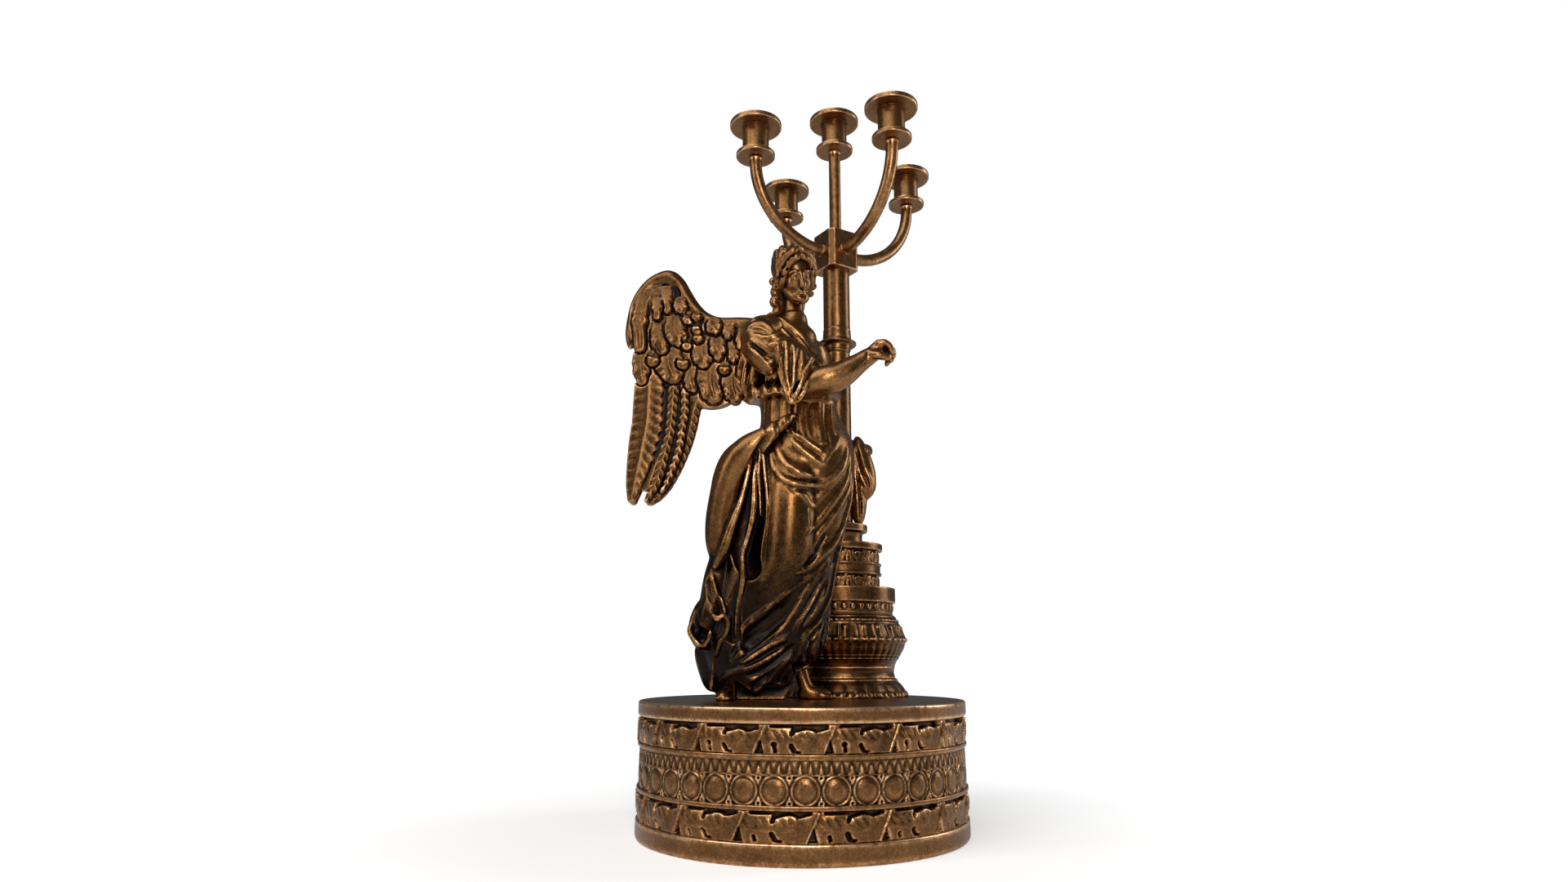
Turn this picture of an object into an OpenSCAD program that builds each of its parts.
// Five-light figural candelabrum: a winged, draped figure beside a turned column on a round drum.
// Millimetres, +Z up. The origin is the centre of the drum's underside.

/* [Drum] */
// Radius of the drum's bottom flange and top plate
drum_r = 150; // [150:1:152]
// Height of the bottom flange
flange_h = 16.7; // [14:0.1:18]
// Thickness of the top plate's rim
plate_h = 12.7; // [10:0.1:13]
// Number of medallions round the middle band
medallion_count = 38; // [30:1:38]

/* [Column] */
// Distance of the column's axis to the right of the drum's axis
column_x = 42; // [40:1:44]
// Distance of the column's axis behind the drum's axis
column_y = 69; // [68:1:71]
// Radius of the lower shaft
shaft_r = 14; // [13:0.1:14]
// Radius of the tie rod that clamps the column to the drum
rod_r = 4; // [3:0.5:4]

/* [Branches] */
// Direction of the back right branch, in degrees from +X
branch_turn = 31.8; // [20:0.1:45]
// Distance of the outer nozzles from the column's axis
branch_reach = 105; // [95:1:115]
// Radius of the branch tube
branch_r = 6.6; // [5.5:0.1:7]
// Side of the square hub
hub_side = 39; // [36:1:40]
// Radius of the candle socket, for a 22 mm taper candle
socket_r = 11.2; // [11:0.1:12]
// Depth of the candle socket
socket_depth = 25; // [18:1:27]

/* [Hidden] */
$fn = 96;
joint_gap = 0.05;
face_gap = 0.1;
column_at = [column_x, column_y, 0];

// Heights of the drum's bands, from the underside up
frieze_low_z = flange_h;
fillet_low_z = 40;
medallion_z = 43.5;
dart_z = 65;
fillet_high_z = 77.5;
frieze_high_z = 80.6;
plate_z = 103;
plate_top = plate_z + plate_h;
floor_h = 4;
shell_r = 143;
shell_wall = 4;
band_r = 147.5;
fillet_r = 149.4;
medallion_r = 10.7;
plate_skin = 6;

// Heights of the pedestal's and the column's pieces
foot_top = plate_top + 18;
neck_top = plate_top + 29.3;
urn_top = 195;
bead_top = 207;
cornice_top = 222;
drum_low_top = 235;
ring_top = 247;
drum_high_top = 260;
cap_top = 267;
plinth_top = 288;
shaft_top = 480;
collar_top = 493;
column_top = 573;
spigot_top = 600;
upper_r = shaft_r + 0.6;
shaft_bore = 9;
spigot_r = 9;
ped_bore = 46;
small_bore = 30;
hub_bottom = column_top + face_gap;
hub_top = 617;
branch_z = 595;
shoulder_z = spigot_top + face_gap;
shoulder_h = 4;
nut_room_r = 10;
washer_h = 1.5;
nut_h = 5;
plug_h = 4;
tenon_r = 4.5;
tenon_l = 8;

// Candle nozzles and drip pans
pan_r = 21.1;
pan_h = 4.6;
cup_r = 14.4;
cup_h = 30.8;
rim_r = 28.2;
rim_h = 5.5;
pin_r = 4;
pin_l = 12;
bend_r = branch_reach - 20;
arm_pan_z = 683.4;
stem_pan_z = 722.8;

// The figure: its axis at the shoulders, and the wall of its hollow castings
body_at = [-17, 2, 0];
cast_wall = 6;
ring_sides = 28;
screw_at = [[-54, -13], [-28, -16]];
screw_r = 3;
boss_r = 6;
boss_h = 26;
web_l = 66;
web_t = 4;

// Loft sections: [z, centre x, centre y, half width, half depth]
ROBE = [
    [plate_top, -46, -16, 36, 28], [126, -46, -17, 37, 29], [136, -46, -17, 42, 31],
    [148, -39, -18, 52, 32], [160, -38, -18, 59, 33], [172, -39, -18, 63, 34],
    [186, -37, -17, 63, 35], [200, -35, -16, 62, 36], [214, -30, -15, 57, 36]];
MANTLE = [
    [200, -35, -16, 63, 38], [214, -29, -15, 60, 38], [228, -27, -14, 60, 39], [241, -24, -13, 60, 40],
    [261, -25, -12, 64, 41], [281, -23, -11, 68, 42], [305, -19, -9, 70, 43], [330, -15, -6, 69, 43],
    [349, -11, -4, 66, 42], [363, -6, -2, 58, 40], [374, -2, 0, 47, 37], [382, 0, 1, 41, 34]];
BODICE = [
    [376, 0, 1, 38, 32], [390, -1, 2, 39, 32], [405, -4, 3, 37, 31], [420, -8, 3, 36, 32],
    [436, -12, 2, 39, 34], [452, -16, 1, 42, 36], [466, -18, 1, 44, 36], [478, -17, 2, 42, 32],
    [487, -14, 3, 33, 26], [493, -8, 3, 18, 17]];
HEAD = [
    [486, -5, 2, 13, 13], [494, -5, 2, 10.5, 11], [502, -6, 1, 10.5, 11.5], [508, -8, -3, 15, 16],
    [516, -8, -2, 22, 22], [526, -7, -1, 25, 25], [538, -7, -1, 26, 26], [549, -7, 0, 24, 25],
    [558, -7, 0, 19, 20], [564, -7, 0, 12, 13], [567, -7, 0, 4, 4]];
TAIL = [
    [292, 64, 72, 2, 4], [302, 68, 69, 8, 11], [316, 69, 68, 10, 14], [334, 69, 68, 10, 14],
    [350, 68, 70, 9, 13], [364, 66, 74, 7, 11], [377, 64, 80, 5, 7]];
RIGHT_FOOT = [
    [plate_top, 14, -4, 17, 9], [119, 14, -4, 17, 9], [124, 9, -4, 12, 9], [132, 4, -5, 9, 9],
    [146, 0, -6, 9, 9], [158, -3, -8, 8, 8]];
LEFT_FOOT = [
    [plate_top, -68, -30, 9, 16], [119, -68, -30, 9, 16], [125, -66, -26, 8, 12], [132, -64, -22, 7, 8],
    [140, -62, -20, 6, 6]];
// Tube paths: [x, y, z, radius]
SLEEVE = [
    [-48, -28, 474, 12], [-47, -30, 464, 18], [-38, -36, 450, 22], [-26, -40, 436, 23], [-14, -42, 420, 21],
    [-8, -43, 406, 13], [-8, -43, 394, 4]];
RIGHT_ARM = [
    [-12, -42, 424, 9], [6, -46, 410, 11], [22, -46, 411, 10.5], [38, -45, 419, 9.5], [52, -43, 428, 7],
    [62, -42, 434, 6], [72, -41, 439, 7.5], [80, -40, 440, 7], [87, -40, 437, 3]];
LEFT_ARM = [
    [12, 22, 464, 13], [20, 36, 458, 14], [16, 60, 430, 11], [10, 84, 402, 9.5], [28, 100, 392, 9],
    [48, 108, 384, 7], [60, 102, 379, 6.5], [68, 90, 375, 7], [70, 80, 370, 5]];
// Wing outline, seen from the front: shoulder, wrist, tip of the primaries, trailing edge
WING = [
    [-34, 488], [-66, 489], [-83, 491], [-100, 497], [-113, 506], [-121, 516], [-127, 534], [-134, 541],
    [-148, 537], [-162, 524], [-171, 504], [-175, 470], [-169, 430], [-168, 370], [-170, 321], [-166, 298],
    [-155, 296], [-140, 305], [-122, 329], [-109, 358], [-102, 387], [-100, 403], [-77, 398], [-55, 404],
    [-30, 402]];
wing_y = -10;
wing_t = 14;

// ---- shared shapes ----

// A ring of revolution with straight walls
module band(r_out, r_in, z_low, z_high) {
    translate([0, 0, z_low])
        difference() {
            cylinder(r = r_out, h = z_high - z_low);
            translate([0, 0, -1]) cylinder(r = r_in, h = z_high - z_low + 2);
        }
}

// A closed polyhedron over rings of points, all with the same number of points
module skin(rings) {
    n = len(rings[0]);
    m = len(rings);
    polyhedron(
        points = [for (ring = rings) each ring],
        faces = concat(
            [[for (i = [0 : n - 1]) i]],
            [for (j = [0 : m - 2], i = [0 : n - 1]) each [
                [j * n + i, (j + 1) * n + i, (j + 1) * n + (i + 1) % n],
                [j * n + i, (j + 1) * n + (i + 1) % n, j * n + (i + 1) % n]]],
            [[for (i = [n - 1 : -1 : 0]) (m - 1) * n + i]]));
}

// An upright loft over elliptical sections, shrunk by inset
function loft_rings(sections, inset = 0) = [for (s = sections) [for (i = [0 : ring_sides - 1])
    [s[1] + (s[3] - inset) * cos(360 * i / ring_sides),
     s[2] + (s[4] - inset) * sin(360 * i / ring_sides), s[0]]]];

module loft(sections, inset = 0) {
    skin(loft_rings(sections, inset));
}

// The same sections with the first lowered and the last raised or lowered, for cutting a core
function core(sections, below, above) = [for (i = [0 : len(sections) - 1])
    let (s = sections[i], dz = i == 0 ? -below : i == len(sections) - 1 ? above : 0)
    [s[0] + dz, s[1], s[2], s[3], s[4]]];

// A round tube along a path of [x, y, z, radius]
function unit(v) = v / norm(v);
function xyz(p) = [p[0], p[1], p[2]];
function heading(path, i) = unit(xyz(path[min(i + 1, len(path) - 1)]) - xyz(path[max(i - 1, 0)]));
function tube_rings(path, n) = [for (i = [0 : len(path) - 1])
    let (t = heading(path, i), side = unit(cross(t, [0, 1, 0])), up = cross(t, side))
    [for (k = [0 : n - 1]) xyz(path[i]) + path[i][3] * (cos(360 * k / n) * side + sin(360 * k / n) * up)]];

module tube(path, n = 16) {
    skin(tube_rings(path, n));
}

// A ring of revolution about the column's axis, from outer points [r, z] and one inner radius
module turned(outer, r_in) {
    translate(column_at)
        rotate_extrude()
            polygon(concat([[r_in, outer[0][1]]], outer, [[r_in, outer[len(outer) - 1][1]]]));
}

// Places a branch piece: k = 0 back right, 1 back left, 2 front left, 3 front right
module at_branch(k) {
    translate(column_at) rotate([0, 0, branch_turn + 90 * k]) children();
}

// ---- drum ----

module base_flange() {
    color("#6b4a2b")
        rotate_extrude()
            polygon([[0, 0], [drum_r - 2, 0], [drum_r - 0.4, 2], [drum_r - 0.4, flange_h - 2],
                [drum_r - 2, flange_h], [shell_r - shell_wall - 3, flange_h],
                [shell_r - shell_wall - 3, floor_h], [0, floor_h]]);
}

module drum_shell() {
    color("#5a3d22") band(shell_r, shell_r - shell_wall, flange_h, plate_z);
}

module lower_frieze() {
    color("#8a5f38") band(band_r, shell_r, frieze_low_z, fillet_low_z);
}

module lower_fillet() {
    color("#7a5430") band(fillet_r, shell_r, fillet_low_z, medallion_z);
}

module medallion_band() {
    color("#6b4a2b") band(band_r - 1, shell_r, medallion_z, dart_z);
}

module medallions() {
    color("#9a6c42")
        for (i = [0 : medallion_count - 1])
            rotate([0, 0, 360 * i / medallion_count])
                translate([band_r - 2.5, 0, (medallion_z + dart_z) / 2])
                    rotate([0, 90, 0]) cylinder(r = medallion_r, h = 4.5, $fn = 32);
}

module dart_band() {
    color("#7a5430") band(band_r, shell_r, dart_z, fillet_high_z);
}

module upper_fillet() {
    color("#7a5430") band(fillet_r, shell_r, fillet_high_z, frieze_high_z);
}

module upper_frieze() {
    color("#8a5f38") band(band_r, shell_r, frieze_high_z, plate_z);
}

module top_plate() {
    color("#6b4a2b")
        difference() {
            rotate_extrude()
                polygon([[0, plate_top - plate_skin], [shell_r - shell_wall - 3, plate_top - plate_skin],
                    [shell_r - shell_wall - 3, plate_z], [drum_r - 1.5, plate_z], [drum_r, plate_z + 1.5],
                    [drum_r, plate_top - 2], [drum_r - 2, plate_top], [0, plate_top]]);
            translate([column_x, column_y, plate_z]) cylinder(r = rod_r + 0.5, h = plate_h + 1);
            for (p = screw_at)
                translate([p[0], p[1], plate_z]) cylinder(r = screw_r + 0.3, h = plate_h + 1);
        }
}

// ---- tie rod and fasteners ----

module tie_rod() {
    color("#8c8c88")
        translate([column_x, column_y, plate_top - plate_skin - 12])
            cylinder(r = rod_r, h = shoulder_z + shoulder_h + 8 - (plate_top - plate_skin - 12));
}

module washer(z_low) {
    translate([column_x, column_y, z_low])
        difference() {
            cylinder(r = 9, h = washer_h);
            translate([0, 0, -1]) cylinder(r = rod_r, h = washer_h + 2);
        }
}

module nut(z_low) {
    translate([column_x, column_y, z_low])
        difference() {
            cylinder(r = 7.5, h = nut_h, $fn = 6);
            translate([0, 0, -1]) cylinder(r = rod_r, h = nut_h + 2);
        }
}

module base_washer() {
    color("#8c8c88") washer(plate_top - plate_skin - washer_h);
}

module base_nut() {
    color("#777773") nut(plate_top - plate_skin - washer_h - nut_h);
}

module head_washer() {
    color("#8c8c88") washer(shoulder_z + shoulder_h + face_gap);
}

module head_nut() {
    color("#777773") nut(shoulder_z + shoulder_h + face_gap + washer_h);
}

module figure_screws() {
    color("#8c8c88")
        for (p = screw_at)
            translate([p[0], p[1], plate_top - plate_skin - 4]) {
                cylinder(r = 5.5, h = 4);
                cylinder(r = screw_r, h = 4 + plate_skin + 20);
            }
}

// ---- pedestal ----

module pedestal_foot() {
    color("#7a5430")
        turned([[66.2, plate_top], [66.2, plate_top + 1.5], [64, plate_top + 3.7], [62, plate_top + 8],
            [59, plate_top + 12], [56, plate_top + 15], [54, foot_top]], ped_bore);
}

module pedestal_neck() {
    color("#6b4a2b") turned([[54, foot_top], [52.6, foot_top + 5], [53.6, neck_top]], ped_bore);
}

module pedestal_urn() {
    color("#8a5f38")
        turned([[53.6, neck_top], [57.7, 153], [63, 161.7], [65.4, 168], [65.4, 172], [62.6, 178],
            [58, 188.5], [54, urn_top]], ped_bore);
}

module bead_band() {
    color("#9a6c42") turned([[53.2, urn_top], [53.2, bead_top]], ped_bore);
}

module pedestal_cornice() {
    color("#6b4a2b")
        translate(column_at)
            rotate_extrude()
                polygon([[ped_bore, bead_top], [55, bead_top], [55.8, bead_top + 1], [55.8, cornice_top - 1],
                    [55, cornice_top], [small_bore, cornice_top], [small_bore, cornice_top - 5],
                    [ped_bore, cornice_top - 5]]);
}

module lower_small_drum() {
    color("#8a5f38") turned([[39.8, cornice_top], [39.8, drum_low_top]], small_bore);
}

module middle_ring() {
    color("#6b4a2b")
        turned([[41.5, drum_low_top], [42.3, drum_low_top + 1], [42.3, ring_top - 1], [41.5, ring_top]],
            small_bore);
}

module upper_small_drum() {
    color("#8a5f38") turned([[40, ring_top], [40, drum_high_top]], small_bore);
}

module pedestal_cap() {
    color("#6b4a2b")
        turned([[43, drum_high_top], [44, drum_high_top + 1], [44, cap_top - 1], [43, cap_top]], rod_r + 0.5);
}

// ---- column ----

module column_plinth() {
    color("#7a5430")
        turned([[24, cap_top], [24, cap_top + 13], [28, cap_top + 13], [28.7, cap_top + 14],
            [28.7, plinth_top - 1], [28, plinth_top]], rod_r + 0.5);
}

module column_shaft() {
    color("#6b4a2b")
        turned([[shaft_r, plinth_top], [shaft_r, shaft_top - 4], [shaft_r - 1, shaft_top - 2],
            [shaft_r, shaft_top]], shaft_bore);
}

module column_collar() {
    color("#9a6c42")
        turned([[shaft_r, shaft_top], [shaft_r + 2.5, shaft_top + 5], [20.4, shaft_top + 5.6],
            [21.2, shaft_top + 7], [21.2, shaft_top + 9.5], [20.4, shaft_top + 11], [shaft_r + 3, collar_top]],
            shaft_bore);
}

module column_upper() {
    color("#6b4a2b")
        translate(column_at)
            rotate_extrude()
                polygon([[shaft_bore, collar_top], [shaft_r + 3, collar_top], [upper_r + 2, collar_top + 4],
                    [upper_r, collar_top + 11], [upper_r, column_top], [spigot_r, column_top],
                    [spigot_r, spigot_top], [rod_r + 0.5, spigot_top], [rod_r + 0.5, column_top - 10],
                    [shaft_bore, column_top - 10]]);
}

// ---- branch head ----

module hub() {
    color("#6b4a2b")
        difference() {
            translate(column_at) rotate([0, 0, branch_turn])
                translate([0, 0, hub_bottom])
                    linear_extrude(hub_top - hub_bottom) chamfered_square(hub_side, 5);
            translate([column_x, column_y, hub_bottom - 1])
                cylinder(r = spigot_r + joint_gap, h = shoulder_z - hub_bottom + 1);
            translate([column_x, column_y, hub_bottom]) cylinder(r = rod_r + 0.5, h = hub_top - hub_bottom);
            translate([column_x, column_y, shoulder_z + shoulder_h])
                cylinder(r = nut_room_r, h = hub_top - shoulder_z);
            for (k = [0 : 3])
                at_branch(k)
                    translate([hub_side / 2 - tenon_l, 0, branch_z])
                        rotate([0, 90, 0]) cylinder(r = tenon_r, h = tenon_l + 1);
        }
}

module chamfered_square(side, cut) {
    h = side / 2;
    polygon([[h - cut, -h], [h, cut - h], [h, h - cut], [h - cut, h], [cut - h, h], [-h, h - cut],
        [-h, cut - h], [cut - h, -h]]);
}

// The socket for a nozzle's pin, below a pan whose underside is at z_pan
module pin_hole(z_pan) {
    translate([0, 0, z_pan + pan_h - pin_l - 1]) cylinder(r = pin_r + joint_gap, h = pin_l + 2);
}

module centre_stem() {
    color("#7a5430")
        translate(column_at)
            difference() {
                union() {
                    translate([0, 0, hub_top - plug_h]) cylinder(r = nut_room_r - 0.02, h = plug_h);
                    translate([0, 0, hub_top]) cylinder(r = branch_r, h = stem_pan_z - hub_top);
                }
                pin_hole(stem_pan_z);
            }
}

module branch(k) {
    color("#7a5430")
        at_branch(k)
            difference() {
                union() {
                    translate([hub_side / 2 - tenon_l, 0, branch_z])
                        rotate([0, 90, 0]) cylinder(r = tenon_r - 0.02, h = tenon_l);
                    translate([hub_side / 2, 0, branch_z])
                        rotate([0, 90, 0]) cylinder(r = branch_r, h = branch_reach - bend_r - hub_side / 2);
                    translate([branch_reach - bend_r, 0, branch_z + bend_r])
                        rotate([90, 0, 0]) rotate([0, 0, -90])
                            rotate_extrude(angle = 90) translate([bend_r, 0]) circle(r = branch_r);
                    translate([branch_reach, 0, branch_z + bend_r])
                        cylinder(r = branch_r, h = arm_pan_z - branch_z - bend_r);
                }
                translate([branch_reach, 0, 0]) pin_hole(arm_pan_z);
            }
}

module pan(z_pan) {
    color("#8a5f38")
        translate([0, 0, z_pan])
            difference() {
                rotate_extrude()
                    polygon([[0, 0], [pan_r - 1.2, 0], [pan_r, 1.2], [pan_r, pan_h - 1.2],
                        [pan_r - 1.2, pan_h], [0, pan_h]]);
                translate([0, 0, -1]) cylinder(r = pin_r + joint_gap, h = pan_h + 2);
            }
}

module nozzle(z_pan) {
    z_seat = z_pan + pan_h + joint_gap;
    color("#9a6c42")
        difference() {
            union() {
                translate([0, 0, z_seat])
                    rotate_extrude()
                        polygon([[0, 0], [cup_r, 0], [cup_r, cup_h - 1.5], [cup_r + 1.5, cup_h],
                            [rim_r - 1.5, cup_h], [rim_r, cup_h + 1.5], [rim_r, cup_h + rim_h - 1.5],
                            [rim_r - 1.5, cup_h + rim_h], [0, cup_h + rim_h]]);
                translate([0, 0, z_seat - pin_l]) cylinder(r = pin_r, h = pin_l + 1);
            }
            translate([0, 0, z_seat + cup_h + rim_h - socket_depth])
                cylinder(r = socket_r, h = socket_depth + 1);
        }
}

module branch_back_right() { branch(0); }
module branch_back_left() { branch(1); }
module branch_front_left() { branch(2); }
module branch_front_right() { branch(3); }

module branch_pan(k) {
    at_branch(k) translate([branch_reach, 0, 0]) pan(arm_pan_z);
}

module branch_nozzle(k) {
    at_branch(k) translate([branch_reach, 0, 0]) nozzle(arm_pan_z);
}

module pan_centre() { translate(column_at) pan(stem_pan_z); }
module pan_back_right() { branch_pan(0); }
module pan_back_left() { branch_pan(1); }
module pan_front_left() { branch_pan(2); }
module pan_front_right() { branch_pan(3); }
module nozzle_centre() { translate(column_at) nozzle(stem_pan_z); }
module nozzle_back_right() { branch_nozzle(0); }
module nozzle_back_left() { branch_nozzle(1); }
module nozzle_front_left() { branch_nozzle(2); }
module nozzle_front_right() { branch_nozzle(3); }

// ---- figure: hollow castings brazed together ----

module robe() {
    color("#7a5430") {
        difference() {
            loft(ROBE);
            loft(core(ROBE, 1, 1), cast_wall);
        }
        difference() {
            union() {
                for (p = screw_at)
                    translate([p[0], p[1], plate_top]) cylinder(r = boss_r, h = boss_h);
                translate([ROBE[0][1] - web_l / 2, ROBE[0][2] - web_t / 2, plate_top])
                    cube([web_l, web_t, boss_h]);
            }
            for (p = screw_at)
                translate([p[0], p[1], plate_top - 1]) cylinder(r = screw_r, h = boss_h + 2);
        }
    }
}

module mantle() {
    color("#8a5f38")
        difference() {
            loft(MANTLE);
            loft(core(MANTLE, 1, 1), cast_wall + 2);
        }
}

module mantle_tail() {
    color("#8a5f38") loft(TAIL);
}

module bodice() {
    color("#7a5430")
        difference() {
            loft(BODICE);
            loft(core(BODICE, 1, -cast_wall), cast_wall);
        }
}

module head() {
    color("#9a6c42") loft(HEAD);
}

module sleeve() {
    color("#8a5f38") tube(SLEEVE);
}

module right_arm() {
    color("#9a6c42") tube(RIGHT_ARM);
}

module left_arm() {
    color("#9a6c42") tube(LEFT_ARM);
}

module wing() {
    translate([0, wing_y + wing_t, 0])
        rotate([90, 0, 0])
            linear_extrude(wing_t) polygon(WING);
}

module right_wing() {
    color("#6b4a2b") wing();
}

module left_wing() {
    color("#6b4a2b") translate(body_at) mirror([1, 1, 0]) translate(-body_at) wing();
}

module right_foot() {
    color("#9a6c42") loft(RIGHT_FOOT);
}

module left_foot() {
    color("#9a6c42") loft(LEFT_FOOT);
}

base_flange();
drum_shell();
lower_frieze();
lower_fillet();
medallion_band();
medallions();
dart_band();
upper_fillet();
upper_frieze();
top_plate();
tie_rod();
base_washer();
base_nut();
head_washer();
head_nut();
figure_screws();
pedestal_foot();
pedestal_neck();
pedestal_urn();
bead_band();
pedestal_cornice();
lower_small_drum();
middle_ring();
upper_small_drum();
pedestal_cap();
column_plinth();
column_shaft();
column_collar();
column_upper();
hub();
centre_stem();
branch_front_left();
branch_front_right();
branch_back_right();
branch_back_left();
pan_centre();
pan_front_left();
pan_front_right();
pan_back_right();
pan_back_left();
nozzle_centre();
nozzle_front_left();
nozzle_front_right();
nozzle_back_right();
nozzle_back_left();
robe();
mantle();
mantle_tail();
bodice();
head();
sleeve();
right_arm();
left_arm();
right_wing();
left_wing();
right_foot();
left_foot();
